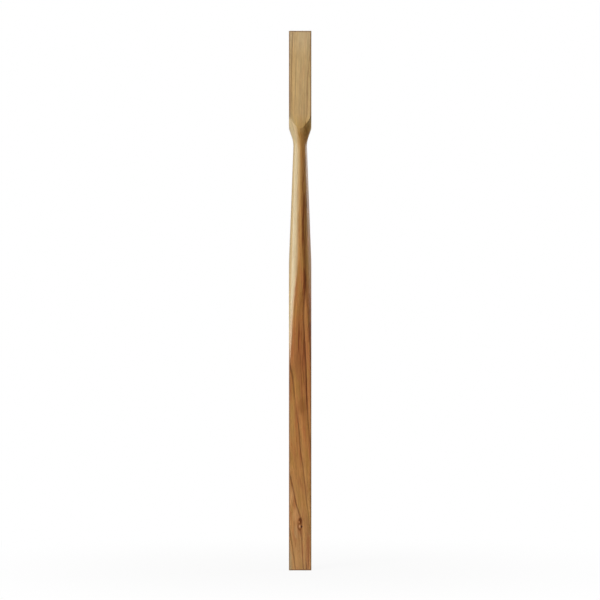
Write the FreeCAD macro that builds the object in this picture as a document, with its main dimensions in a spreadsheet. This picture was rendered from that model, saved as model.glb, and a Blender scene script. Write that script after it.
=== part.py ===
# Square-top stair baluster, turned from one square length of hardwood.
#
# The blank stays square at the head, which goes up under the handrail, and at the foot, which stands
# on the tread. Between the two blocks the lathe cuts a short conical shoulder, a cove, a slim neck and
# one long straight taper. Where each cone runs out through the flats of the blank it leaves a pointed
# tongue on all four sides: short and steep below the head block, long and slender above the foot block.
#
# Frame: millimetres, +Z up along the turning axis, origin at the centre of the foot.

import FreeCAD, Part
import Sketcher
import math
import os

NODE = "baluster"

# Driving dimensions in millimetres: alias, value, what it measures.
DIMENSIONS = [
    ("overall_length", 1066.8, "foot to head along the turning axis, a 42 inch length"),
    ("square_width", 44.45, "across the flats of the blank, 1 3/4 inch stock"),
    ("arris_radius", 1.6, "sanded rounding of the four long arrises, 1/16 inch"),
    ("head_block_length", 165.5, "head down to where the shoulder cuts the arrises, as if they were sharp"),
    ("foot_block_length", 373.0, "foot up to where the taper cuts the arrises, as if they were sharp"),
    ("neck_drop", 227.5, "head down to the narrowest point of the neck"),
    ("neck_diameter", 27.0, "turned diameter at the narrowest point"),
    ("cove_radius", 55.0, "hollow at the neck between the shoulder and the taper"),
]

# Positions on a sketch line or arc, as the sketcher numbers them.
START, END, CENTRE = 1, 2, 3
# The sketch's own origin: geometry and position.
ORIGIN = (-1, 1)


def make_sheet(doc):
    """Spreadsheet with one aliased cell for each driving dimension."""
    sheet = doc.addObject("Spreadsheet::Sheet", "Dimensions")
    for row, (alias, value, meaning) in enumerate(DIMENSIONS, start=1):
        sheet.set(f"A{row}", alias)
        sheet.set(f"B{row}", str(value))
        sheet.setAlias(f"B{row}", alias)
        sheet.set(f"C{row}", meaning)
    doc.recompute()
    return sheet


def attach(sketch, body, role):
    """Lay a sketch flat on one of the body's own origin planes."""
    plane = next(feature for feature in body.Origin.OriginFeatures if feature.Role == role)
    sketch.AttachmentSupport = [(plane, "")]
    sketch.MapMode = "FlatFace"


def drive(sketch, name, constraint, expression):
    """Add a named dimension to a sketch and bind it to the spreadsheet."""
    index = sketch.addConstraint(constraint)
    sketch.renameConstraint(index, name)
    sketch.setExpression(f"Constraints.{name}", expression)


def line(sketch, start, end):
    """Add a straight line between two sketch points and return its index."""
    segment = Part.LineSegment(FreeCAD.Vector(*start, 0), FreeCAD.Vector(*end, 0))
    return sketch.addGeometry(segment, False)


def square_blank(doc, body, sheet):
    """Pad the planed square blank from foot to head."""
    half = sheet.square_width / 2
    corners = [(-half, -half), (half, -half), (half, half), (-half, half)]

    sketch = body.newObject("Sketcher::SketchObject", "BlankSection")
    attach(sketch, body, "XY_Plane")
    sides = [line(sketch, corners[i], corners[(i + 1) % 4]) for i in range(4)]
    for i in range(4):
        sketch.addConstraint(Sketcher.Constraint("Coincident", sides[i], END, sides[(i + 1) % 4], START))
        sketch.addConstraint(Sketcher.Constraint("Horizontal" if i % 2 == 0 else "Vertical", sides[i]))
    sketch.addConstraint(Sketcher.Constraint("Equal", sides[0], sides[1]))
    sketch.addConstraint(Sketcher.Constraint("Symmetric", sides[0], START, sides[2], START, *ORIGIN))
    width = Sketcher.Constraint("DistanceX", sides[0], START, sides[0], END, sheet.square_width)
    drive(sketch, "width", width, "Dimensions.square_width")

    pad = body.newObject("PartDesign::Pad", "Blank")
    pad.Profile = sketch
    pad.setExpression("Length", "Dimensions.overall_length")
    doc.recompute()
    return pad


def ease_arrises(doc, body, pad):
    """Round the four long edges of the blank, as sanding leaves them."""
    long_edges = [
        f"Edge{number}"
        for number, edge in enumerate(pad.Shape.Edges, start=1)
        if abs(edge.tangentAt(edge.FirstParameter).z) > 0.5
    ]
    fillet = body.newObject("PartDesign::Fillet", "EasedArrises")
    fillet.Base = (pad, long_edges)
    fillet.setExpression("Radius", "Dimensions.arris_radius")
    doc.recompute()
    return fillet


def turning_sketch(doc, body, sheet):
    """Half section of what the lathe removes: shoulder, cove and taper, closed outside the blank.

    The shoulder and the taper each start on the blank's half diagonal, level with the end of their
    square block, and run tangent into the cove. Both go on outwards to a closing line that is one
    blank width from the axis, so the cut leaves the wood cleanly at the arrises. The taper is drawn
    in two lengths on one line: round, from the cove down to the tips of the tongues where it reaches
    the flats, and then on the four corners only.
    """
    clear_of_blank = sheet.square_width
    half_width = sheet.square_width / 2
    half_diagonal = sheet.square_width / math.sqrt(2)
    neck_height = sheet.overall_length - sheet.neck_drop
    cove_centre = (sheet.neck_diameter / 2 + sheet.cove_radius, neck_height)
    shoulder_start = (half_diagonal, sheet.overall_length - sheet.head_block_length)
    taper_start = (half_diagonal, sheet.foot_block_length)

    def tangent_angle(point, side):
        """Direction from the cove's centre to where the tangent from a point meets the cove."""
        across = point[0] - cove_centre[0]
        along = point[1] - cove_centre[1]
        opening = math.acos(sheet.cove_radius / math.hypot(across, along))
        return math.atan2(along, across) % (2 * math.pi) + side * opening

    def on_cove(angle):
        return (
            cove_centre[0] + sheet.cove_radius * math.cos(angle),
            cove_centre[1] + sheet.cove_radius * math.sin(angle),
        )

    def at_reach(meeting, start, reach):
        """Point this far from the axis on the line from the cove through the end of a square block."""
        share = (reach - meeting[0]) / (start[0] - meeting[0])
        return (reach, meeting[1] + share * (start[1] - meeting[1]))

    shoulder_angle = tangent_angle(shoulder_start, 1)
    taper_angle = tangent_angle(taper_start, -1)
    shoulder_meets = on_cove(shoulder_angle)
    taper_meets = on_cove(taper_angle)
    shoulder_end = at_reach(shoulder_meets, shoulder_start, clear_of_blank)
    tongue_tips = at_reach(taper_meets, taper_start, half_width)
    taper_end = at_reach(taper_meets, taper_start, clear_of_blank)

    sketch = body.newObject("Sketcher::SketchObject", "TurningSection")
    attach(sketch, body, "XZ_Plane")
    shoulder = line(sketch, shoulder_end, shoulder_meets)
    circle = Part.Circle(FreeCAD.Vector(*cove_centre, 0), FreeCAD.Vector(0, 0, 1), sheet.cove_radius)
    cove = sketch.addGeometry(Part.ArcOfCircle(circle, shoulder_angle, taper_angle), False)
    round_taper = line(sketch, taper_meets, tongue_tips)
    corner_taper = line(sketch, tongue_tips, taper_end)
    closing = line(sketch, taper_end, shoulder_end)
    head_mark = sketch.addGeometry(Part.Point(FreeCAD.Vector(*shoulder_start, 0)), True)
    foot_mark = sketch.addGeometry(Part.Point(FreeCAD.Vector(*taper_start, 0)), True)

    sketch.addConstraint(
        [
            Sketcher.Constraint("Tangent", shoulder, END, cove, START),
            Sketcher.Constraint("Tangent", cove, END, round_taper, START),
            Sketcher.Constraint("Tangent", round_taper, END, corner_taper, START),
            Sketcher.Constraint("Coincident", corner_taper, END, closing, START),
            Sketcher.Constraint("Coincident", closing, END, shoulder, START),
            Sketcher.Constraint("Vertical", closing),
            Sketcher.Constraint("PointOnObject", head_mark, START, shoulder),
            Sketcher.Constraint("PointOnObject", foot_mark, START, corner_taper),
        ]
    )

    def across(name, geometry, position, value, expression):
        constraint = Sketcher.Constraint("DistanceX", *ORIGIN, geometry, position, value)
        drive(sketch, name, constraint, expression)

    def up(name, geometry, position, value, expression):
        constraint = Sketcher.Constraint("DistanceY", *ORIGIN, geometry, position, value)
        drive(sketch, name, constraint, expression)

    radius = Sketcher.Constraint("Radius", cove, sheet.cove_radius)
    drive(sketch, "cove_radius", radius, "Dimensions.cove_radius")
    neck_to_centre = "Dimensions.neck_diameter / 2 + Dimensions.cove_radius"
    across("cove_centre", cove, CENTRE, cove_centre[0], neck_to_centre)
    up("neck_height", cove, CENTRE, neck_height, "Dimensions.overall_length - Dimensions.neck_drop")
    across("head_arris", head_mark, START, half_diagonal, "Dimensions.square_width / sqrt(2)")
    head_level = "Dimensions.overall_length - Dimensions.head_block_length"
    up("head_block", head_mark, START, shoulder_start[1], head_level)
    across("foot_arris", foot_mark, START, half_diagonal, "Dimensions.square_width / sqrt(2)")
    up("foot_block", foot_mark, START, taper_start[1], "Dimensions.foot_block_length")
    across("tongue_tips", round_taper, END, half_width, "Dimensions.square_width / 2")
    across("clear_of_blank", closing, START, clear_of_blank, "Dimensions.square_width")
    doc.recompute()
    return sketch


def turn(doc, body, sketch):
    """Cut the turned length out of the square blank, one full turn about the vertical axis."""
    groove = body.newObject("PartDesign::Groove", "TurnedLength")
    groove.Profile = sketch
    groove.ReferenceAxis = (sketch, ["V_Axis"])
    groove.Angle = 360
    body.Tip = groove
    doc.recompute()
    return groove


def check(doc, body, before, after):
    """Stop if a feature failed, the lathe cut nothing, or the baluster isn't one sound solid."""
    for item in doc.Objects:
        if {"Invalid", "Error"} & set(item.State):
            raise RuntimeError(f"{item.Name} failed: {item.State}")
    for item in doc.Objects:
        if item.TypeId == "Sketcher::SketchObject" and item.solve() != 0:
            raise RuntimeError(f"{item.Name} has constraints that can't be met")
    if after.Shape.Volume >= before.Shape.Volume:
        raise RuntimeError("the turning removed no wood")
    if body.Shape.isNull() or not body.Shape.isValid() or len(body.Shape.Solids) != 1:
        raise RuntimeError("the baluster is not one valid solid")


def main():
    doc = FreeCAD.newDocument("Baluster")
    sheet = make_sheet(doc)

    body = doc.addObject("PartDesign::Body", "Baluster")
    body.Label = NODE
    body.Placement = FreeCAD.Placement()
    pad = square_blank(doc, body, sheet)
    eased = ease_arrises(doc, body, pad)
    turned = turn(doc, body, turning_sketch(doc, body, sheet))

    check(doc, body, eased, turned)
    os.makedirs("parts", exist_ok=True)
    body.Shape.exportStep(os.path.join("parts", f"{body.Label}.step"))
    print(f"{body.Label}: {body.Shape.Volume / 1000:.1f} cm3, {len(body.Shape.Faces)} faces")


main()
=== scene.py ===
"""Looks of a one-piece stair baluster, turned from a square length of hardwood.

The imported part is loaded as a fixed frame, in metres, with +Z up and the front face towards -Y. One new
surface stands for the baluster. It has the same blocks, shoulder, cove, neck, taper and tongues, with the
eased arrises and ends and the small knot that the real stick shows, and it carries the place that each
point had in the tree, so that the figure of the wood runs through the stick and round the knot.
"""

import logging
import math
from dataclasses import dataclass
from enum import Enum
from typing import Any, Sequence

import bmesh
import bpy
import numpy as np
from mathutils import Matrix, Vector


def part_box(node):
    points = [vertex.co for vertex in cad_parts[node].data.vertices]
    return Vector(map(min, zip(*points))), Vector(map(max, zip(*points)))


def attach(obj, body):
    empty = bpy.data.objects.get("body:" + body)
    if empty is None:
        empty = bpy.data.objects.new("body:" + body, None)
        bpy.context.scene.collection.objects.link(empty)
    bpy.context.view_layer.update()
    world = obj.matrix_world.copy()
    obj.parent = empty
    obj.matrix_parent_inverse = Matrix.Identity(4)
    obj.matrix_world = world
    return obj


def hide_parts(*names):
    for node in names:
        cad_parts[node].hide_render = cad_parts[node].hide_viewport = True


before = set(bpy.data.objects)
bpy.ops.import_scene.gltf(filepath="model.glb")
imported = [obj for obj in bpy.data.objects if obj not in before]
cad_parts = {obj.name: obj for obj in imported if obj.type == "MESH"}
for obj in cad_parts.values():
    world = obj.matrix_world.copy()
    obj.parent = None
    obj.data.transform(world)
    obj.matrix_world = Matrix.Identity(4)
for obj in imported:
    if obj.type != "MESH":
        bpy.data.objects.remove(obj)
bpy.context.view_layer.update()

LOG = logging.getLogger("baluster")

NODE = "baluster"
BODY = "root"

MM = 0.001
EIGHTH_TURN = math.pi / 4
NodeTree = bpy.types.NodeTree
Socket = bpy.types.NodeSocket
Colour = tuple[float, float, float, float]
# How much of a tint covers the wood, and the tint.
Layer = tuple[Socket, str]
# Where a value starts and ends, and the amounts that it is turned into there.
Limits = tuple[float, float, float, float]

# Sockets of the Map Range node, in the order of such limits, and its setting for soft ends.
RANGE = ("From Min", "From Max", "To Min", "To Max")
SMOOTH = {"interpolation_type": "SMOOTHSTEP"}
# Sockets of the Mix node when it blends colours.
MIX_A, MIX_B, MIX_RESULT = 6, 7, 2


class Ray(Enum):
    """Kinds of ray that see the plain backdrop itself, and not the room's light."""

    CAMERA = "Is Camera Ray"
    GLOSSY = "Is Glossy Ray"
    TRANSMISSION = "Is Transmission Ray"


class Trait(Enum):
    """What each point of the stick carries for its finish, kept as attributes of the mesh."""

    FIBRE = "fibre"
    RING = "ring"
    RING_WIDTH = "ring_width"
    GUM = "gum"
    LATE = "late"
    SAP = "sap_and_highlight"
    WORN = "worn"


def linear(hex_colour: str) -> Colour:
    """Turn an sRGB hex colour into linear light.

    Args:
        hex_colour: Six hex digits after a hash sign.

    Returns:
        Red, green, blue and a full alpha.
    """
    channels = (int(hex_colour[i : i + 2], 16) / 255 for i in (1, 3, 5))
    lit = (c / 12.92 if c <= 0.04045 else ((c + 0.055) / 1.055) ** 2.4 for c in channels)
    return (*lit, 1.0)


def add_node(
    tree: NodeTree,
    kind: str,
    inputs: dict[str | int | tuple[str, ...], Any],
    output: str | int = 0,
    stops: Sequence[tuple[float, Colour]] = (),
    **settings: Any,
) -> Socket | None:
    """Add a node, set it up and fill or link its inputs.

    Args:
        tree: Node tree that gets the node.
        kind: Name of the node's type, without the ShaderNode that starts it.
        inputs: For each input, by name or number, a value or the output that is linked to it. Several
            names together take as many values, in their order.
        output: Name or number of the output that is wanted.
        stops: Places and colours along the ramp of a colour ramp.
        settings: Properties of the node.

    Returns:
        The wanted output, or None from a node that has no outputs.
    """
    node = tree.nodes.new(f"ShaderNode{kind}")
    for name, value in settings.items():
        setattr(node, name, value)
    for keys, values in inputs.items():
        for key, value in zip(keys, values) if isinstance(keys, tuple) else [(keys, values)]:
            if isinstance(value, Socket):
                tree.links.new(value, node.inputs[key])
            else:
                node.inputs[key].default_value = value
    if stops:
        ramp = node.color_ramp.elements
        while len(ramp) < len(stops):
            ramp.new(1.0)
        for element, (place, colour) in zip(ramp, stops):
            element.position = place
            element.color = colour
    return node.outputs[output] if node.outputs else None


def put_in_scene(name: str, data: bpy.types.ID) -> bpy.types.Object:
    """Make an object of a mesh, a light or a camera.

    Args:
        name: Name of the object.
        data: What it is an object of.

    Returns:
        The object, at the origin of the scene.
    """
    thing = bpy.data.objects.new(name, data)
    bpy.context.scene.collection.objects.link(thing)
    return thing


def smooth_through(at: np.ndarray, knots: np.ndarray, values: np.ndarray) -> np.ndarray:
    """Curve through given points: a cubic in each span, with the neighbours' mean slope at each end.

    Args:
        at: Places to work out.
        knots: Places of the points, rising.
        values: Heights of the points.

    Returns:
        The curve's value at each place.
    """
    slopes = np.gradient(values, knots)
    i = np.clip(np.searchsorted(knots, at) - 1, 0, len(knots) - 2)
    span = knots[i + 1] - knots[i]
    t = np.clip((at - knots[i]) / span, 0, 1)
    start = (1 + 2 * t) * (1 - t) ** 2 * values[i] + t * (1 - t) ** 2 * span * slopes[i]
    end = t**2 * (3 - 2 * t) * values[i + 1] + t**2 * (t - 1) * span * slopes[i + 1]
    return start + end


@dataclass(frozen=True)
class Cone:
    """Straight turned length, as the radius and height where it meets the cove, and its slope.

    The slope is the radius that it gains for each metre up.
    """

    radius: float
    height: float
    slope: float

    def radius_at(self, z: np.ndarray) -> np.ndarray:
        """Radius at each height, on the straight line from where the cone meets the cove."""
        return self.radius + (z - self.height) * self.slope

    def height_at(self, radius: float) -> float:
        """Height at which the cone has a given radius."""
        return self.height + (radius - self.radius) / self.slope


@dataclass(frozen=True)
class TurnedSection:
    """Sizes of the stick in metres, and what the lathe leaves of it at each height.

    The overall sizes come from the frame. The others repeat the part's own driving dimensions.
    """

    length: float
    half_width: float
    arris_radius: float = 1.6 * MM
    head_block: float = 165.5 * MM
    foot_block: float = 373.0 * MM
    neck_drop: float = 227.5 * MM
    neck_radius: float = 13.5 * MM
    cove_radius: float = 55.0 * MM

    @property
    def neck_height(self) -> float:
        """Height of the narrowest point."""
        return self.length - self.neck_drop

    @property
    def half_diagonal(self) -> float:
        """Distance from the axis to an arris of the blank, as if it were sharp."""
        return self.half_width * math.sqrt(2)

    @property
    def corner_radius(self) -> float:
        """Distance from the axis to the outside of an eased arris."""
        return (self.half_width - self.arris_radius) * math.sqrt(2) + self.arris_radius

    @property
    def shoulder(self) -> Cone:
        """Cone below the head block."""
        return self._tangent(self.length - self.head_block, 1)

    @property
    def taper(self) -> Cone:
        """Cone above the foot block."""
        return self._tangent(self.foot_block, -1)

    def _tangent(self, level: float, side: int) -> Cone:
        """Line from the end of a square block, on the blank's half diagonal, that touches the cove.

        Args:
            level: Height of the block's end on the arris.
            side: 1 for the shoulder above the neck, -1 for the taper below it.

        Returns:
            The cone that the line turns.
        """
        centre = self.neck_radius + self.cove_radius
        across = self.half_diagonal - centre
        along = level - self.neck_height
        opening = math.acos(self.cove_radius / math.hypot(across, along))
        angle = math.atan2(along, across) % (2 * math.pi) + side * opening
        radius = centre + self.cove_radius * math.cos(angle)
        height = self.neck_height + self.cove_radius * math.sin(angle)
        return Cone(radius, height, (self.half_diagonal - radius) / (level - height))

    def radius(self, z: np.ndarray) -> np.ndarray:
        """Turned radius at each height: straight on the taper and the shoulder, a hollow arc between.

        Args:
            z: Heights above the foot.

        Returns:
            Distance of the turned surface from the axis.
        """
        taper, shoulder = self.taper, self.shoulder
        drop = np.clip(z, taper.height, shoulder.height) - self.neck_height
        cove = self.neck_radius + self.cove_radius - np.sqrt(self.cove_radius**2 - drop**2)
        above = np.where(z > shoulder.height, shoulder.radius_at(z), cove)
        return np.where(z < taper.height, taper.radius_at(z), above)


@dataclass(frozen=True)
class GumLine:
    """Dark line that one growth ring draws down the front face.

    Each point holds a height and a place across the face in millimetres, how dark the line is there, and
    how dark the latewood is that leads up to it.
    """

    points: tuple[tuple[float, float, float, float], ...]

    def at(self, z: np.ndarray) -> tuple[np.ndarray, np.ndarray, np.ndarray]:
        """Follow the line down the face.

        Args:
            z: Heights above the foot.

        Returns:
            Place across the face in metres, and how dark the line and its latewood are, from 0 to 1.
        """
        heights, places, darkness, latewood = np.array(self.points).T
        across = smooth_through(z / MM, heights, places) * MM
        return across, np.interp(z / MM, heights, darkness), np.interp(z / MM, heights, latewood)


@dataclass(frozen=True)
class Patch:
    """Oval patch of darker or paler colour on the front: place and half sizes in millimetres, and its looks.

    The cover is the share of the wood's own colour that the tint hides, the depth, in millimetres too, is
    how far the face has sunk there, and the softness is the breadth of the edge as a share of the half
    sizes. The patch is centred just before the front face, this far from the axis, and goes in to the axis.
    """

    across: float
    height: float
    half_width: float
    half_height: float
    tint: str
    cover: float
    depth: float = 0.0
    soft: float = 0.5
    from_axis: float = 25.0


@dataclass(frozen=True)
class Knot:
    """Small knot low on the front face, with a pocket of bark above it."""

    patches: tuple[Patch, ...] = (
        Patch(0.0, 92.0, 9.0, 20.0, "#A0653A", 0.4, soft=1.2),
        Patch(-8.2, 76.0, 3.0, 14.0, "#BC9060", 0.65, soft=0.9),
        Patch(-0.6, 97.0, 4.2, 7.0, "#884E22", 0.6),
        Patch(0.6, 100.0, 3.3, 5.0, "#5E2E0A", 0.9, depth=0.3),
        Patch(1.5, 94.5, 1.9, 4.4, "#66350F", 0.85, depth=0.2),
        Patch(-2.0, 95.6, 1.2, 2.0, "#B07C50", 0.7),
        Patch(-0.3, 86.5, 4.4, 6.8, "#6A3812", 0.85, depth=0.3),
        Patch(-0.5, 86.8, 2.7, 4.6, "#A06A3A", 0.85, depth=-0.25),
        # Painted highlight on the upper left of the raised core, the side towards the key light.
        Patch(-1.1, 87.2, 1.4, 2.6, "#BE8C66", 0.9),
        Patch(3.0, 86.4, 2.0, 2.6, "#3E1A06", 0.95, depth=0.5),
    )
    # Fibres bend round its middle, in metres, over this much of the face, and are pushed this share of
    # their own way aside.
    across: float = -0.2 * MM
    height: float = 88.0 * MM
    reach_across: float = 12.0 * MM
    reach_along: float = 26.0 * MM
    push: float = 0.55

    def hollow(self, x: np.ndarray, z: np.ndarray) -> np.ndarray:
        """Depth of the front face round the knot: the sum of a bell curve over each sunk patch.

        Args:
            x: Places across the face.
            z: Heights above the foot.

        Returns:
            Depth below the face at each place.
        """
        depth = np.zeros_like(x)
        for patch in self.patches:
            across = (x / MM - patch.across) / patch.half_width
            along = (z / MM - patch.height) / patch.half_height
            depth += patch.depth * MM * np.exp(-(across**2 + along**2))
        return depth

    def part_fibres(self, x: np.ndarray, depth: np.ndarray, z: np.ndarray) -> np.ndarray:
        """Place across the face where each fibre would lie without the knot, which pushes fibres aside.

        The push is a bell curve round the knot, and dies away inwards as it does across.

        Args:
            x: Places across the face.
            depth: Depths behind the face.
            z: Heights above the foot.

        Returns:
            Places across the face.
        """
        dx, dz = x - self.across, z - self.height
        away = (dx / self.reach_across) ** 2 + (depth / self.reach_across) ** 2 + (dz / self.reach_along) ** 2
        return self.across + dx * (1 - self.push * np.exp(-away))


@dataclass(frozen=True)
class Tree:
    """Place of the stick in the tree that it was sawn from, in metres."""

    front: float
    pith_x: float = -60.0 * MM
    pith_y: float = 40.0 * MM
    # Past the four lines, how wide the rings are, how dark their gum and latewood are, and how quickly, for
    # each ring, the gum gets to that.
    ring_width: float = 12.0 * MM
    plain_gum: float = 0.6
    plain_late: float = 0.55
    gum_settles: float = 2.0
    # Edge of the pale tint on the front face, as heights and places across it in millimetres, how far it goes
    # to the left for each metre behind that face, and the breadth over which it turns into heartwood. The
    # tint is partly sapwood and partly painted highlight: down the turned part its edge runs near the left
    # edge of the long tongue, so that the lit left flank comes out pale.
    sapwood_and_highlight: tuple[tuple[float, float], ...] = (
        (0, -17), (30, -18.5), (70, -25), (120, -42), (280, -34),
        (360, -25), (430, -20), (475, -17), (525, -13.5), (575, -8),
        (610, -6), (650, -5), (733, -2.6), (811, 0.5), (831, 0.5),
        (851, -1.5), (868, -6), (900, -16), (940, -30), (1067, -40),
    )
    sapwood_slant: float = 0.3
    sapwood_blend: float = 6.0 * MM
    # Darker and paler places in the heartwood, from the head down. The first is painted shade: a deep brown
    # patch on the right flank of the shoulder, which faces down and away from the key light.
    patches: tuple[Patch, ...] = (
        Patch(14.0, 873.0, 7.5, 13.0, "#7A5010", 0.55, soft=0.9),
        Patch(-4.0, 403.0, 9.0, 22.0, "#80542A", 0.4, soft=1.2),
        Patch(3.5, 324.0, 8.0, 14.0, "#7C4C22", 0.5, soft=1.2),
        Patch(-17.0, 298.0, 7.0, 46.0, "#AE8448", 0.55, soft=1.2),
        Patch(-18.0, 147.0, 5.0, 16.0, "#BC8E5C", 0.6, soft=1.2),
        Patch(-8.5, 108.0, 5.5, 15.0, "#C0905C", 0.65, soft=1.2),
    )
    # The four rings whose lines show on the front, from the pith outwards.
    lines: tuple[GumLine, ...] = (
        GumLine((
            (0, -9.2, 0.5, 0.0), (30, -13.1, 0.5, 0.0), (60, -17.1, 0.55, 0.0),
            (94, -22.0, 0.6, 0.1), (150, -30.0, 0.5, 0.3), (220, -40.0, 0.4, 0.3),
            (400, -52.0, 0.4, 0.3), (1067, -52.0, 0.3, 0.2),
        )),
        GumLine((
            (0, 6.6, 0.6, 0.1), (30, 4.6, 0.6, 0.1), (60, 2.7, 0.65, 0.1),
            (78, 0.7, 0.7, 0.2), (102, 0.7, 0.7, 0.2), (112, -1.3, 0.75, 0.25),
            (133, -8.2, 0.75, 0.25), (157, -13.1, 0.8, 0.25), (183, -19.1, 0.8, 0.25),
            (200, -23.5, 0.7, 0.25), (260, -33.0, 0.5, 0.25), (400, -42.0, 0.4, 0.3),
            (1067, -38.0, 0.3, 0.2),
        )),
        GumLine((
            (0, 17.0, 0.15, 0.7), (30, 18.0, 0.2, 0.6), (60, 19.0, 0.4, 0.5),
            (110, 15.5, 0.45, 0.2), (157, 10.8, 0.55, 0.2), (206, 5.4, 0.6, 0.2),
            (238, 0.7, 0.65, 0.2), (278, -2.3, 0.65, 0.2), (301, -5.2, 0.6, 0.25),
            (331, -8.8, 0.4, 0.3), (345, -11.0, 0.6, 0.3), (357, -12.4, 0.8, 0.3),
            (368, -13.4, 0.6, 0.3), (384, -15.0, 0.9, 0.3), (396, -18.0, 0.9, 0.3),
            (470, -23.0, 0.2, 0.1), (520, -11.0, 0.15, 0.0), (548, -2.0, 0.1, 0.0),
            (575, 3.5, 0.05, 0.0), (605, 3.0, 0.05, 0.0), (640, -1.0, 0.05, 0.0),
            (733, -9.0, 0.05, 0.0), (831, -17.0, 0.05, 0.0), (900, -19.0, 0.35, 0.1),
            (945, -18.0, 0.45, 0.1), (1010, -16.5, 0.45, 0.1), (1067, -15.0, 0.4, 0.1),
        )),
        GumLine((
            (0, 40.0, 0.3, 0.3), (200, 25.0, 0.4, 0.2), (270, 18.0, 0.7, 0.3),
            (290, 16.1, 0.8, 0.3), (353, 12.6, 1.0, 0.6), (396, 11.8, 1.0, 0.7),
            (426, 10.2, 1.0, 0.75), (446, 9.2, 1.0, 0.85), (470, 7.8, 1.0, 0.75),
            (490, 7.0, 1.0, 0.6), (510, 6.8, 0.9, 0.6), (525, 7.6, 0.9, 0.7),
            (545, 9.6, 0.9, 0.95), (575, 9.4, 0.8, 0.95), (600, 8.4, 0.6, 0.9),
            (650, 6.6, 0.5, 0.9), (700, 5.0, 0.4, 0.9), (760, 4.2, 0.4, 0.7),
            (800, 3.6, 0.35, 0.4), (860, 6.0, 0.3, 0.3), (890, 11.6, 0.4, 0.2),
            (970, 14.5, 0.5, 0.1), (1005, 17.5, 0.4, 0.1), (1067, 22.0, 0.3, 0.1),
        )),
    )

    def place(self, points: np.ndarray, knot: Knot) -> dict[Trait, np.ndarray]:
        """Where each point of the stick lay in the tree.

        A ring's radius is the distance from the pith in plan. The gum lines give the radius of four rings
        at every height, the wood between two of them is shared out evenly, and past the outer two the
        rings go on at one width. Fibres keep their distance from the mean of the four.

        Args:
            points: Points of the stick, one in each row.
            knot: The knot that the fibres part round.

        Returns:
            For each attribute, its value at every point.
        """
        x, y, z = points.T
        x = knot.part_fibres(x, y - self.front, z)
        radius = np.hypot(x - self.pith_x, y - self.pith_y)
        across, dark, late = np.stack([line.at(z) for line in self.lines], axis=1)
        marks = np.hypot(across - self.pith_x, self.front - self.pith_y)
        widths = np.diff(marks, axis=0)
        shares = np.clip((radius - marks[:-1]) / widths, 0, 1)
        inside = np.minimum(radius - marks[0], 0) / self.ring_width
        outside = np.maximum(radius - marks[-1], 0) / self.ring_width
        ring = shares.sum(axis=0) + inside + outside

        whole = np.floor(ring).astype(int)
        span = np.clip(whole, 0, len(widths) - 1)
        between = (ring >= 0) & (ring < len(widths))
        width = np.where(between, np.take_along_axis(widths, span[None], axis=0)[0], self.ring_width)
        gum = dark[0] + (np.diff(dark, axis=0) * shares).sum(axis=0)
        fade = np.exp(-self.gum_settles * np.abs(inside + outside))
        leads_to = np.clip(whole + 1, 0, len(late) - 1)
        known = (ring >= -1) & (ring < len(widths))
        latewood = np.where(known, np.take_along_axis(late, leads_to[None], axis=0)[0], self.plain_late)
        around = np.arctan2(y - self.pith_y, x - self.pith_x) * radius.mean()
        edge = np.interp(z / MM, *np.array(self.sapwood_and_highlight).T) * MM - self.sapwood_slant * (y - self.front)
        return {
            Trait.FIBRE: np.column_stack([radius - marks.mean(axis=0), around, z]),
            Trait.RING: ring,
            Trait.RING_WIDTH: width / MM,
            Trait.GUM: self.plain_gum + (gum - self.plain_gum) * fade,
            Trait.LATE: latewood,
            Trait.SAP: 0.5 + (edge - x) / self.sapwood_blend,
        }


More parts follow.
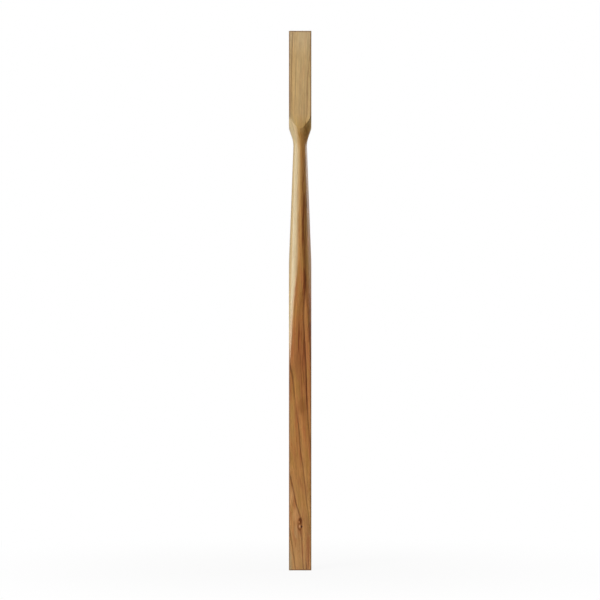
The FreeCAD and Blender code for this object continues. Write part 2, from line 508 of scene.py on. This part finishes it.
@dataclass(frozen=True)
class SandedCherry:
    """Cherry, planed and turned, then sanded along the grain and rubbed with a thin satin seal."""

    # Pale wood at the head and down the left side runs into warm red-brown heartwood towards the foot. Down
    # the left side it is partly sapwood and partly painted highlight, where the turned left flank catches the
    # light.
    # Each growth ring darkens outwards and ends in a thin line of gum, short dark flecks and fibres run along
    # the stick, and the seal gives a soft sheen on the turned flanks and is worn off the edges, whose darker
    # colour is partly wear and partly painted shade that tones down their highlight.
    name: str = "sanded_cherry"
    # Colours of clear heartwood at rising shares of the height.
    heart: tuple[tuple[float, str], ...] = (
        (0.00, "#B08250"),
        (0.15, "#AC7A44"),
        (0.25, "#AA743F"),
        (0.40, "#A4693A"),
        (0.56, "#A0703A"),
        (0.74, "#AA804A"),
        (0.808, "#A87E42"),
        (0.822, "#B4945A"),
        (0.846, "#B49769"),
        (0.95, "#B09568"),
        (0.985, "#B69E76"),
    )
    # Tints that are laid over it.
    # The first is pale sapwood and painted highlight on the lit left flank.
    sapwood_and_highlight: str = "#AA966D"
    early: str = "#B88C54"
    rosy: str = "#A05C34"
    olive: str = "#947030"
    latewood: str = "#7A4016"
    streak: str = "#5A260A"
    gum: str = "#4E2208"
    end_grain: str = "#8A5F30"
    # Darker tint of the eased edges and end edges: wear, and painted shade that tones down their highlight.
    handled_and_shade: str = "#6E4A22"
    ior: float = 1.5
    # Roughness of the sealed wood, of the worn edges and of the ends, where the seal sinks in, and what the
    # fibres add to it.
    satin: float = 0.25
    worn: float = 0.5
    cut: float = 0.75
    fibre_roughness: float = 0.08
    # Relief that sanding leaves on the fibres: its strength, and its depth in metres.
    relief: float = 0.25
    relief_depth: float = 0.05 * MM
    # Sizes of the patterns in millimetres, out from the pith, round it and along the grain. Real fibres are
    # a tenth of these across, and are drawn coarser so that they show on the whole stick.
    fibre_mm: tuple[float, float, float] = (1.4, 2.4, 60.0)
    fleck_mm: tuple[float, float, float] = (1.8, 3.2, 11.0)
    streak_mm: tuple[float, float, float] = (1.8, 10.0, 70.0)
    cloud_mm: tuple[float, float, float] = (7.0, 14.0, 50.0)
    noise_detail: float = 3.0
    # How the patterns lighten and darken the wood, and the share of that which the pale left tint lacks, as
    # painted highlight that washes the figure out on the lit left flank.
    fibre_tone: Limits = (0.3, 0.7, 0.84, 1.16)
    streak_tone: Limits = (0.3, 0.7, 0.86, 1.12)
    fleck_tone: Limits = (0.3, 0.7, 0.90, 1.10)
    sap_highlight_calm: float = 0.5
    # Clouds of colour, and how they and the dashes fade towards the pale head, by the share of the height.
    rosy_cloud: Limits = (0.50, 0.66, 0.0, 0.45)
    olive_cloud: Limits = (0.50, 0.34, 0.0, 0.40)
    figured: Limits = (0.80, 0.55, 0.25, 1.0)
    # Earlywood and latewood, by the share of the way out through a ring, and the cover of plain latewood.
    earlywood: Limits = (0.42, 0.05, 0.0, 0.30)
    late_rise: Limits = (0.30, 0.62, 0.0, 1.0)
    late_cover: float = 0.34
    # Dark streaks in the latewood and short dashes all over, by their noise, and how far rings waver, as a
    # share of their width.
    dark_streaks: Limits = (0.48, 0.57, 0.0, 0.90)
    dashes: Limits = (0.56, 0.70, 0.0, 0.40)
    ring_waver: Limits = (0.0, 1.0, -0.025, 0.025)
    # Gum lines, by the distance in millimetres from the middle of one. A dark line is broader, and streaks
    # break it up.
    gum_line: Limits = (1.1, 0.3, 0.0, 0.90)
    gum_breadth: Limits = (0.0, 1.0, 0.4, 1.6)
    gum_breaks: Limits = (0.36, 0.52, 0.6, 1.0)
    # Noise, which is a half on average, frays the edges of the sapwood and of the patches by this much.
    fray: float = 1.2
    # On the ends, yearly rings for each ring that gum ends, their cover, and how deep the cut shows.
    years_between_gum: float = 6.0
    end_rings: Limits = (0.0, 1.0, 0.30, 0.95)
    cut_depth: float = 0.3 * MM
    # Cover of that darker tint on the edges, for wear and painted shade.
    wear_and_shade_cover: float = 0.75

    def material(self, length: float, patches: Sequence[Patch]) -> bpy.types.Material:
        """Make the wood as a material.

        Args:
            length: Length of the stick, which the change of colour runs over.
            patches: Darker and paler patches, such as the knot's core and bark.

        Returns:
            The material.
        """
        wood = bpy.data.materials.new(self.name)
        wood.use_nodes = True
        tree = wood.node_tree
        tree.nodes.clear()
        fibre = add_node(tree, "Attribute", {}, "Vector", attribute_name=Trait.FIBRE.value)
        # Worn edges, rougher and darker; the darker colour is partly painted shade.
        worn = add_node(tree, "Attribute", {}, "Fac", attribute_name=Trait.WORN.value)
        place = add_node(tree, "TexCoord", {}, "Object")
        height = add_node(tree, "SeparateXYZ", {0: place}, "Z")

        patterns = []
        for size_mm in (self.fibre_mm, self.fleck_mm, self.streak_mm, self.cloud_mm):
            scale = [1 / (size * MM) for size in size_mm]
            drawn_out = add_node(tree, "Mapping", {"Vector": fibre, "Scale": scale})
            noise = {"Vector": drawn_out, "Scale": 1.0, "Detail": self.noise_detail}
            patterns.append(add_node(tree, "TexNoise", noise))
        fibres, flecks, streaks, clouds = patterns

        stops = [(at, linear(tint)) for at, tint in self.heart]
        share = add_node(tree, "Math", {0: height, 1: 1 / length}, operation="MULTIPLY")
        colour = add_node(tree, "ValToRGB", {0: share}, "Color", stops=stops)
        figure = add_node(tree, "MapRange", {"Value": share, RANGE: self.figured})
        # Pale tint of sapwood and of painted highlight on the lit left flank.
        sap_and_highlight = self._sap_and_highlight(tree, streaks)
        cut = self._cut_across(tree, height, length)
        layers = (
            *self._clouds(tree, clouds, figure),
            (sap_and_highlight, self.sapwood_and_highlight),
            *self._rings(tree, flecks, streaks, figure),
            *self._patches(tree, place, flecks, patches),
            # Edges darkened, partly by wear and partly as painted shade.
            (add_node(tree, "Math", {0: worn, 1: self.wear_and_shade_cover}, operation="MULTIPLY"), self.handled_and_shade),
            (self._end_rings(tree, cut), self.end_grain),
        )
        for amount, tint in layers:
            blend = {0: amount, MIX_A: colour, MIX_B: linear(tint)}
            colour = add_node(tree, "Mix", blend, MIX_RESULT, data_type="RGBA")

        tone: float | Socket = 1.0
        tones = ((fibres, self.fibre_tone), (streaks, self.streak_tone), (flecks, self.fleck_tone))
        for pattern, limits in tones:
            shade = add_node(tree, "MapRange", {"Value": pattern, RANGE: limits})
            tone = add_node(tree, "Math", {0: tone, 1: shade}, operation="MULTIPLY")
        calm = {"Value": sap_and_highlight, "From Max": 1 / self.sap_highlight_calm, "To Min": tone, "To Max": 1.0}
        tone = add_node(tree, "MapRange", calm)
        colour = add_node(tree, "VectorMath", {0: colour, "Scale": tone}, operation="SCALE")

        sealed = add_node(tree, "MapRange", {"Value": worn, "To Min": self.satin, "To Max": self.worn})
        smooth = add_node(tree, "MapRange", {"Value": cut, "To Min": sealed, "To Max": self.cut})
        added = {0: fibres, 1: self.fibre_roughness, 2: smooth}
        rough = add_node(tree, "Math", added, operation="MULTIPLY_ADD")
        relief = {"Strength": self.relief, "Distance": self.relief_depth, "Height": fibres}
        normal = add_node(tree, "Bump", relief)
        surface = {"Base Color": colour, "Roughness": rough, "IOR": self.ior, "Normal": normal}
        shader = add_node(tree, "BsdfPrincipled", surface)
        add_node(tree, "OutputMaterial", {"Surface": shader})
        return wood

    def _sap_and_highlight(self, tree: NodeTree, streaks: Socket) -> Socket:
        """Sapwood together with painted highlight on the lit left flank, with an edge that the streaks fray.

        Args:
            tree: Node tree that gets the nodes.
            streaks: Coarse, long noise along the grain.

        Returns:
            How much of the pale tint, sapwood and painted highlight, covers the heartwood.
        """
        sap_and_highlight = add_node(tree, "Attribute", {}, "Fac", attribute_name=Trait.SAP.value)
        frayed = add_node(tree, "Math", {0: streaks, 1: self.fray, 2: sap_and_highlight}, operation="MULTIPLY_ADD")
        edge = {"Value": frayed, "From Min": self.fray / 2, "From Max": 1 + self.fray / 2}
        return add_node(tree, "MapRange", edge)

    def _clouds(self, tree: NodeTree, clouds: Socket, figure: Socket) -> list[Layer]:
        """Rosy and olive clouds of colour, a finger long.

        Args:
            tree: Node tree that gets the nodes.
            clouds: Broad noise along the grain.
            figure: One below the pale head, which has fainter clouds.

        Returns:
            The two layers.
        """
        layers = []
        for limits, tint in ((self.rosy_cloud, self.rosy), (self.olive_cloud, self.olive)):
            cloud = add_node(tree, "MapRange", {"Value": clouds, RANGE: limits}, **SMOOTH)
            layers.append((add_node(tree, "Math", {0: cloud, 1: figure}, operation="MULTIPLY"), tint))
        return layers

    def _rings(self, tree: NodeTree, flecks: Socket, streaks: Socket, figure: Socket) -> list[Layer]:
        """Latewood, which darkens each ring outwards and is streaked, and the thin line of gum that ends it.

        Args:
            tree: Node tree that gets the nodes.
            flecks: Fine, short noise along the grain.
            streaks: Coarse, long noise along the grain.
            figure: One below the pale head, which has few flecks.

        Returns:
            The layers, from the bottom up.
        """
        ring, late = (
            add_node(tree, "Attribute", {}, "Fac", attribute_name=trait.value)
            for trait in (Trait.RING, Trait.LATE)
        )
        waver = add_node(tree, "MapRange", {"Value": flecks, RANGE: self.ring_waver})
        wavy = add_node(tree, "Math", {0: ring, 1: waver}, operation="ADD")
        through = add_node(tree, "Math", {0: wavy}, operation="FRACT")
        drawn = (
            (through, self.earlywood),
            (through, self.late_rise),
            (flecks, self.dashes),
            (streaks, self.dark_streaks),
        )
        pale, band, dashes, dark = (
            add_node(tree, "MapRange", {"Value": value, RANGE: limits}, **SMOOTH)
            for value, limits in drawn
        )
        clear = add_node(tree, "Math", {0: 1.0, 1: late}, operation="SUBTRACT")
        band = add_node(tree, "Math", {0: band, 1: late}, operation="MULTIPLY")
        covers = (
            (pale, clear, self.early),
            (band, self.late_cover, self.latewood),
            (dashes, figure, self.latewood),
            (dark, band, self.streak),
        )
        layers = [
            (add_node(tree, "Math", {0: amount, 1: share}, operation="MULTIPLY"), tint)
            for amount, share, tint in covers
        ]
        return [*layers, (self._gum_lines(tree, wavy, streaks), self.gum)]

    def _gum_lines(self, tree: NodeTree, ring: Socket, streaks: Socket) -> Socket:
        """Thin lines of gum, by the distance in millimetres to the nearest whole ring.

        Args:
            tree: Node tree that gets the nodes.
            ring: Count of rings out from the first, with its fraction.
            streaks: Coarse, long noise along the grain, which breaks the lines up.

        Returns:
            How much of the gum's tint covers the wood.
        """
        width, gum = (
            add_node(tree, "Attribute", {}, "Fac", attribute_name=trait.value)
            for trait in (Trait.RING_WIDTH, Trait.GUM)
        )
        nearest = add_node(tree, "Math", {0: ring}, operation="ROUND")
        off = add_node(tree, "Math", {0: ring, 1: nearest}, operation="SUBTRACT")
        off = add_node(tree, "Math", {0: off, 1: width}, operation="MULTIPLY")
        off = add_node(tree, "Math", {0: off}, operation="ABSOLUTE")
        breadth = add_node(tree, "MapRange", {"Value": gum, RANGE: self.gum_breadth})
        off = add_node(tree, "Math", {0: off, 1: breadth}, operation="DIVIDE")
        near = add_node(tree, "MapRange", {"Value": off, RANGE: self.gum_line}, **SMOOTH)
        breaks = add_node(tree, "MapRange", {"Value": streaks, RANGE: self.gum_breaks})
        dark = add_node(tree, "Math", {0: near, 1: gum}, operation="MULTIPLY")
        return add_node(tree, "Math", {0: dark, 1: breaks}, operation="MULTIPLY")

    def _patches(
        self, tree: NodeTree, place: Socket, flecks: Socket, patches: Sequence[Patch]
    ) -> list[Layer]:
        """Darker and paler patches, all with frayed edges.

        Args:
            tree: Node tree that gets the nodes.
            place: Object coordinates.
            flecks: Fine, short noise along the grain, which frays the edges.
            patches: The patches, from the bottom up.

        Returns:
            The layers, from the bottom up.
        """
        layers = []
        frayed_edge = 1 + self.fray / 2
        for patch in patches:
            half_sizes = (patch.half_width * MM, patch.from_axis * MM, patch.half_height * MM)
            centre = (patch.across * MM, -patch.from_axis * MM, patch.height * MM)
            off = add_node(tree, "VectorMath", {0: place, 1: centre}, operation="SUBTRACT")
            off = add_node(tree, "VectorMath", {0: off, 1: half_sizes}, operation="DIVIDE")
            off = add_node(tree, "VectorMath", {0: off}, "Value", operation="LENGTH")
            off = add_node(tree, "Math", {0: flecks, 1: self.fray, 2: off}, operation="MULTIPLY_ADD")
            limits = (frayed_edge + patch.soft / 2, frayed_edge - patch.soft / 2, 0.0, patch.cover)
            inside = add_node(tree, "MapRange", {"Value": off, RANGE: limits}, **SMOOTH)
            layers.append((inside, patch.tint))
        return layers

    def _end_rings(self, tree: NodeTree, cut: Socket) -> Socket:
        """Yearly rings on the cut ends, each darker outwards.

        Args:
            tree: Node tree that gets the nodes.
            cut: One on the two ends and zero along the sides.

        Returns:
            How much of the end grain's tint covers the wood.
        """
        ring = add_node(tree, "Attribute", {}, "Fac", attribute_name=Trait.RING.value)
        years = add_node(tree, "Math", {0: ring, 1: self.years_between_gum}, operation="MULTIPLY")
        through = add_node(tree, "Math", {0: years}, operation="FRACT")
        darker = add_node(tree, "MapRange", {"Value": through, RANGE: self.end_rings})
        return add_node(tree, "Math", {0: darker, 1: cut}, operation="MULTIPLY")

    def _cut_across(self, tree: NodeTree, height: Socket, length: float) -> Socket:
        """One on the two ends, where the fibres are cut across, and zero along the sides.

        Args:
            tree: Node tree that gets the nodes.
            height: Height above the foot.
            length: Length of the stick.

        Returns:
            The socket that carries the number.
        """
        from_middle = add_node(tree, "Math", {0: height, 1: length / 2}, operation="SUBTRACT")
        from_middle = add_node(tree, "Math", {0: from_middle}, operation="ABSOLUTE")
        near_end = {"Value": from_middle, "From Min": length / 2 - self.cut_depth, "From Max": length / 2}
        return add_node(tree, "MapRange", near_end)


@dataclass
class Baluster:
    """The stick itself: one closed surface from foot to head."""

    section: TurnedSection
    knot: Knot
    wood: Tree
    finish: SandedCherry
    name: str = "turned_baluster"
    # Rounding of the ends, how far in from an edge the seal is worn and the colour darkened, partly as
    # painted shade, how close points are welded, and the angle from which an edge stays crisp.
    end_ease: float = 0.4 * MM
    wear_reach: float = 2.6 * MM
    weld: float = 0.001 * MM
    crease: float = math.radians(12)
    # Columns of points on an eighth of the plan.
    flat_columns: int = 26
    arris_columns: int = 5
    round_columns: int = 12
    # Rows of points, from the middle of an end outwards and then along the sides. Rows on a tongue crowd
    # towards its tip by this power, and heights are kept to this many digits of a metre.
    cap_rows: int = 5
    ease_rows: int = 6
    wear_rows: int = 4
    foot_rows: int = 64
    tongue_rows: int = 90
    taper_rows: int = 50
    cove_rows: int = 24
    shoulder_rows: int = 6
    head_rows: int = 24
    crowding: float = 1.6
    height_digits: int = 6
    # Stretch of close rows below and above the knot's middle, and the step between them.
    knot_below: float = 14.0 * MM
    knot_above: float = 24.0 * MM
    knot_step: float = 0.75 * MM

    def _heights(self) -> np.ndarray:
        """Heights of the rows of points along the sides, closer where the form turns quickly.

        Rows crowd towards the tips of the tongues as a power of the distance, follow equal angles round
        the cove and stand close together on the knot.

        Returns:
            Rising heights from the foot to the head.
        """
        size = self.section
        shoulder, taper = size.shoulder, size.taper
        long_tip = taper.height_at(size.half_width)
        short_tip = shoulder.height_at(size.half_width)
        foot = taper.height_at(size.corner_radius)
        head = shoulder.height_at(size.corner_radius)
        crowd = np.linspace(0, 1, self.tongue_rows) ** self.crowding
        cove = np.arcsin((np.array([taper.height, shoulder.height]) - size.neck_height) / size.cove_radius)
        eased = self.end_ease * (1 - np.cos(np.linspace(0, math.pi / 2, self.ease_rows)))
        worn = np.linspace(size.arris_radius, self.wear_reach, self.wear_rows)
        knot = self.knot.height
        rows = [
            eased,
            worn,
            np.linspace(self.wear_reach, foot, self.foot_rows),
            np.arange(knot - self.knot_below, knot + self.knot_above, self.knot_step),
            long_tip - (long_tip - foot) * crowd,
            np.linspace(long_tip, taper.height, self.taper_rows),
            size.neck_height + size.cove_radius * np.sin(np.linspace(*cove, self.cove_rows)),
            np.linspace(shoulder.height, short_tip, self.shoulder_rows),
            short_tip + (head - short_tip) * crowd[::2],
            np.linspace(head, size.length - self.wear_reach, self.head_rows),
            size.length - worn,
            size.length - eased,
        ]
        return np.unique(np.round(np.concatenate(rows), self.height_digits))

    def _outline(self, z: np.ndarray) -> tuple[np.ndarray, np.ndarray]:
        """Plan of the stick at each height, over an eighth of the turn.

        It is the eased square where that lies inside the turned circle, and the circle elsewhere. The
        eighth has columns on the flat, on the eased arris and on the turned corner. Where one of the three
        isn't there its columns fall together, and are welded later.

        Args:
            z: Heights of the rows.

        Returns:
            Angle from the middle of a side and distance from the axis, for each row and column.
        """
        size = self.section
        depth = np.minimum(np.minimum(z, size.length - z), self.end_ease) / self.end_ease
        sunk = self.end_ease * (1 - np.sqrt(np.clip(1 - (1 - depth) ** 2, 0, 1)))
        half = (size.half_width - sunk)[:, None]
        arris = size.arris_radius
        inner = half - arris
        turned = size.radius(z)[:, None]

        flat_end = np.arctan2(inner, half)
        on_flat = np.arccos(np.clip(half / turned, -1, 1))
        lean = (turned**2 + 2 * inner**2 - arris**2) / (2 * math.sqrt(2) * turned * inner)
        on_arris = EIGHTH_TURN - np.arccos(np.clip(lean, -1, 1))
        corner = inner * math.sqrt(2) + arris
        meets = np.where(turned <= np.hypot(half, inner), on_flat, on_arris)
        meets = np.where(turned >= corner, EIGHTH_TURN, np.where(turned <= half, 0.0, meets))

        stop = np.minimum(meets, flat_end)
        flat = np.arctan(np.tan(stop) * np.linspace(0, 1, self.flat_columns + 1))
        eased = stop + (meets - stop) * np.linspace(0, 1, self.arris_columns + 1)[1:]
        rounded = meets + (EIGHTH_TURN - meets) * np.linspace(0, 1, self.round_columns + 1)[1:]
        angle = np.concatenate([flat, eased, rounded], axis=1)

        off = EIGHTH_TURN - angle
        reach = inner * math.sqrt(2)
        fillet = reach * np.cos(off) + np.sqrt(np.clip(arris**2 - (reach * np.sin(off)) ** 2, 0, None))
        square = np.where(angle <= flat_end, half / np.cos(angle), fillet)
        return angle, np.minimum(square, turned)

    def _surface(self) -> tuple[np.ndarray, np.ndarray]:
        """Grid of points over the whole stick, and its faces.

        One parameter runs round the axis and the other from the centre of the foot, up the sides, to the
        centre of the head. An eighth of the plan is mirrored to a side, and a side is turned to all four.

        Returns:
            Points, one in each row, and faces as four point numbers each.
        """
        z = self._heights()
        angle, distance = self._outline(z)
        side = np.concatenate([-angle[:, :0:-1], angle[:, :-1]], axis=1)
        away = np.concatenate([distance[:, :0:-1], distance[:, :-1]], axis=1)
        turns = np.concatenate([side + quarter * math.pi / 2 for quarter in range(4)], axis=1)
        away = np.tile(away, (1, 4))
        x, y = away * np.sin(turns), -away * np.cos(turns)

        shrink = 1 - np.linspace(1, 0, self.cap_rows + 1)[:-1, None] ** 2
        x = np.concatenate([shrink * x[:1], x, shrink[::-1] * x[-1:]])
        y = np.concatenate([shrink * y[:1], y, shrink[::-1] * y[-1:]])
        z = np.concatenate([np.full(self.cap_rows, z[0]), z, np.full(self.cap_rows, z[-1])])
        z = np.broadcast_to(z[:, None], x.shape)
        points = np.stack([x, y, z], axis=-1).reshape(-1, 3)

        front = points[:, 1] < -self.section.half_width + self.weld
        points[front, 1] += self.knot.hollow(points[front, 0], points[front, 2])

        rows, columns = x.shape
        number = np.arange(rows * columns).reshape(rows, columns)
        beside = np.roll(number, -1, axis=1)
        faces = np.stack([number[:-1], beside[:-1], beside[1:], number[1:]], axis=-1)
        return points, faces.reshape(-1, 4)

    def build(self) -> bpy.types.Object:
        """Make the mesh, weld what falls together and keep the long edges crisp.

        Returns:
            The new object, at the origin.
        """
        points, faces = self._surface()
        mesh = bpy.data.meshes.new(self.name)
        mesh.from_pydata(points, [], faces)
        work = bmesh.new()
        work.from_mesh(mesh)
        bmesh.ops.remove_doubles(work, verts=work.verts, dist=self.weld)
        work.to_mesh(mesh)
        work.free()
        mesh.validate()
        mesh.shade_smooth()
        mesh.set_sharp_from_angle(angle=self.crease)
        return put_in_scene(self.name, mesh)

    def _wear_and_shade(self, points: np.ndarray) -> np.ndarray:
        """How far the seal is worn off at each point: fully on the eased edges, and not at all a step in.

        The distance to an arris is measured along the flats, and to the edge of an end along the side and
        along the end face. The same share darkens the colour, partly for wear and partly as painted shade.

        Args:
            points: Points of the stick, one in each row.

        Returns:
            Shares from 0 to 1.
        """
        size = self.section
        to_arris = size.half_width - np.abs(points[:, :2]).min(axis=1)
        to_side = size.half_width - np.abs(points[:, :2]).max(axis=1)
        to_end = np.minimum(points[:, 2], size.length - points[:, 2])
        to_edge = np.minimum(to_arris, np.hypot(to_side, to_end))
        return np.clip((self.wear_reach - to_edge) / (self.wear_reach - size.arris_radius), 0, 1)

    def dress(self, stick: bpy.types.Object) -> None:
        """Give every point its place in the tree, and the stick its finish.

        Args:
            stick: The object that build made.
        """
        mesh = stick.data
        flat = np.empty(len(mesh.vertices) * 3)
        mesh.vertices.foreach_get("co", flat)
        points = flat.reshape(-1, 3)
        traits = self.wood.place(points, self.knot) | {Trait.WORN: self._wear_and_shade(points)}
        for trait, values in traits.items():
            kind, field = ("FLOAT_VECTOR", "vector") if values.ndim == 2 else ("FLOAT", "value")
            attribute = mesh.attributes.new(trait.value, kind, "POINT")
            attribute.data.foreach_set(field, values.astype(np.float32).ravel())
        patches = (*self.wood.patches, *self.knot.patches)
        mesh.materials.append(self.finish.material(self.section.length, patches))
        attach(stick, BODY)
        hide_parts(NODE)


def backdrop_rays(tree: NodeTree) -> tuple[Socket, Socket]:
    """Tell apart the rays that look at the backdrop, those mirrored in a sheen and the room's light.

    Args:
        tree: Node tree that gets the nodes.

    Returns:
        Two sockets: one for rays that come straight or through glass, and one for mirrored rays.
    """
    camera, glossy, through = (add_node(tree, "LightPath", {}, ray.value) for ray in Ray)
    return add_node(tree, "Math", {0: camera, 1: through}, operation="MAXIMUM"), glossy


@dataclass(frozen=True)
class PaleFloor:
    """Smooth floor in matt paint, which fades into the white backdrop away from the object's shadow."""

    # The eye sees white with a faint shadow at the foot. The paint itself is a pale grey, so that little
    # light is thrown back up, and a sheen sees white towards the left and the back and dark elsewhere.
    name: str = "matt_white_floor"
    paint: str = "#A4A29E"
    side: float = 30.0
    below: float = 0.2 * MM
    shadow_reach: float = 0.9
    glow_near: float = 0.93
    white_towards: tuple[float, float, float] = (-0.8, 0.6, 0.0)

    def build(self) -> bpy.types.Object:
        """Lay the floor and paint it.

        Returns:
            The floor.
        """
        reach = self.side / 2
        corners = np.array([(-1, -1, 0), (1, -1, 0), (1, 1, 0), (-1, 1, 0)]) * reach
        mesh = bpy.data.meshes.new(self.name)
        mesh.from_pydata(corners - (0, 0, self.below), [], [(0, 1, 2, 3)])
        mesh.materials.append(self._paint())
        floor = put_in_scene(self.name, mesh)
        return floor

    def _paint(self) -> bpy.types.Material:
        """Matt paint for the light that it throws back, and a white that keeps the shadow for the eye.

        Returns:
            The material.
        """
        paint = bpy.data.materials.new(self.name)
        paint.use_nodes = True
        tree = paint.node_tree
        tree.nodes.clear()
        matt = add_node(tree, "BsdfDiffuse", {"Color": linear(self.paint)})
        place = add_node(tree, "TexCoord", {}, "Object")
        away = add_node(tree, "VectorMath", {0: place}, "Value", operation="LENGTH")
        glow_limits = (0.0, self.shadow_reach, self.glow_near, 1.0)
        glow = add_node(tree, "MapRange", {"Value": away, RANGE: glow_limits}, **SMOOTH)
        white = add_node(tree, "Emission", {"Strength": 1.0})
        shown = add_node(tree, "MixShader", {0: glow, 1: matt, 2: white})

        white_side = {0: place, 1: self.white_towards}
        towards = add_node(tree, "VectorMath", white_side, "Value", operation="DOT_PRODUCT")
        sheen_limits = (-self.shadow_reach, self.shadow_reach, 0.0, 1.0)
        sheen = add_node(tree, "MapRange", {"Value": towards, RANGE: sheen_limits}, **SMOOTH)
        mirrored = add_node(tree, "Emission", {"Strength": sheen})
        seen, glossy = backdrop_rays(tree)
        room = add_node(tree, "MixShader", {0: glossy, 1: matt, 2: mirrored})
        both = add_node(tree, "MixShader", {0: seen, 1: room, 2: shown})
        add_node(tree, "OutputMaterial", {"Surface": both})
        return paint


@dataclass(frozen=True)
class SoftBox:
    """Rectangular soft light that looks at the middle of the stick, and may show in its sheen.

    Angles are in degrees, round from the front towards the right and up from level.
    """

    name: str
    azimuth: float
    elevation: float
    distance: float
    width: float
    height: float
    power: float
    shows_in_sheen: bool = True

    def hang(self, target: Vector) -> bpy.types.Object:
        """Hang the light.

        Args:
            target: Point that the light looks at.

        Returns:
            The light.
        """
        lamp = bpy.data.lights.new(self.name, "AREA")
        lamp.shape = "RECTANGLE"
        lamp.size = self.width
        lamp.size_y = self.height
        lamp.energy = self.power
        box = put_in_scene(self.name, lamp)
        turn, rise = math.radians(self.azimuth), math.radians(self.elevation)
        back = Vector((math.sin(turn) * math.cos(rise), -math.cos(turn) * math.cos(rise), math.sin(rise)))
        box.location = target + back * self.distance
        box.rotation_euler = (-back).to_track_quat("-Z", "Y").to_euler()
        box.visible_glossy = self.shows_in_sheen
        return box


@dataclass(frozen=True)
class PhotoCamera:
    """Long lens, square to the front face and level with the middle of the stick.

    The stick's length and middle are placed in a picture of 600 by 600 pixels.
    """

    name: str = "long_lens"
    lens: float = 180.0
    sensor: float = 36.0
    picture: float = 600.0
    stick_length: float = 539.6
    stick_centre: tuple[float, float] = (300.15, 300.6)

    def place(self, section: TurnedSection) -> bpy.types.Object:
        """Set the camera up and make it the scene's own.

        Args:
            section: Sizes of the stick.

        Returns:
            The camera.
        """
        pixel = section.length / self.stick_length
        data = bpy.data.cameras.new(self.name)
        data.lens = self.lens
        data.sensor_width = self.sensor
        camera = put_in_scene(self.name, data)
        across = (self.picture / 2 - self.stick_centre[0]) * pixel
        up = (self.stick_centre[1] - self.picture / 2) * pixel
        away = pixel * self.picture * self.lens / self.sensor + section.half_width
        camera.location = (across, -away, section.length / 2 + up)
        camera.rotation_euler = (math.pi / 2, 0, 0)
        bpy.context.scene.camera = camera
        return camera


@dataclass(frozen=True)
class Studio:
    """White surround, floor, lights and camera."""

    floor: PaleFloor
    camera: PhotoCamera
    # The key lights the front. The strip and the shine give the left flank its sheen, the rim and the fill
    # lift the right edge, the card lights the shoulder from below, and the last one lights the back.
    lights: tuple[SoftBox, ...] = (
        SoftBox("key", azimuth=-36, elevation=34, distance=6.0, width=2.4, height=2.4, power=370),
        SoftBox("strip", azimuth=-64, elevation=5, distance=8.0, width=8.2, height=1.8, power=160),
        SoftBox("shine", azimuth=-86, elevation=5, distance=8.0, width=3.0, height=1.8, power=65),
        SoftBox("rim", azimuth=117, elevation=16, distance=2.0, width=1.0, height=0.45, power=7),
        SoftBox(
            "fill",
            azimuth=105,
            elevation=14,
            distance=3.0,
            width=1.6,
            height=1.2,
            power=35,
            shows_in_sheen=False,
        ),
        SoftBox("card", azimuth=-60, elevation=-22, distance=1.25, width=0.9, height=0.3, power=3.0),
        SoftBox("back", azimuth=180, elevation=20, distance=8.0, width=4.0, height=2.4, power=200),
    )
    ambient: float = 0.14
    # White that a sheen sees, by how far back and how far right it looks, from -1 to 1.
    white_behind: Limits = (-0.3, 0.3, 0.0, 1.0)
    white_right: Limits = (-0.9, 0.1, 0.3, 0.75)

    def build(self, section: TurnedSection) -> None:
        """Set the studio up round the stick.

        Args:
            section: Sizes of the stick.
        """
        self.floor.build()
        LOG.info("floor %s", self.floor.name)
        middle = Vector((0, 0, section.length / 2))
        for light in self.lights:
            light.hang(middle)
            LOG.info("light %s", light.name)
        self._surround()
        self.camera.place(section)
        bpy.context.scene.view_settings.view_transform = "Standard"

    def _surround(self) -> None:
        """White for the rays that see the backdrop, and a low even light for the rest.

        The backdrop hangs behind the stick and to its right, so a sheen sees white there, less of it to
        the left, and the dark room in front.
        """
        world = bpy.data.worlds.new("white_surround")
        world.use_nodes = True
        tree = world.node_tree
        tree.nodes.clear()
        outward = add_node(tree, "TexCoord", {}, "Generated")
        right, back = (add_node(tree, "SeparateXYZ", {0: outward}, axis) for axis in "XY")
        behind = add_node(tree, "MapRange", {"Value": back, RANGE: self.white_behind}, **SMOOTH)
        rightwards = add_node(tree, "MapRange", {"Value": right, RANGE: self.white_right})
        sheen = add_node(tree, "Math", {0: behind, 1: rightwards}, operation="MULTIPLY")
        seen, glossy = backdrop_rays(tree)
        room = add_node(tree, "MapRange", {"Value": glossy, "To Min": self.ambient, "To Max": sheen})
        strength = add_node(tree, "MapRange", {"Value": seen, "To Min": room, "To Max": 1.0})
        light = add_node(tree, "Background", {"Color": linear("#FFFFFF"), "Strength": strength})
        add_node(tree, "OutputWorld", {"Surface": light})
        bpy.context.scene.world = world


def main() -> None:
    """Build the stick and the studio."""
    logging.basicConfig(level=logging.INFO, format="%(name)s: %(message)s")
    low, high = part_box(NODE)
    section = TurnedSection(length=high[2] - low[2], half_width=(high[0] - low[0]) / 2)
    baluster = Baluster(section, Knot(), Tree(front=-section.half_width), SandedCherry())
    stick = baluster.build()
    baluster.dress(stick)
    LOG.info("piece %s: %d points, %d faces", stick.name, len(stick.data.vertices), len(stick.data.polygons))

    Studio(PaleFloor(), PhotoCamera()).build(section)


if __name__ == "__main__":
    main()
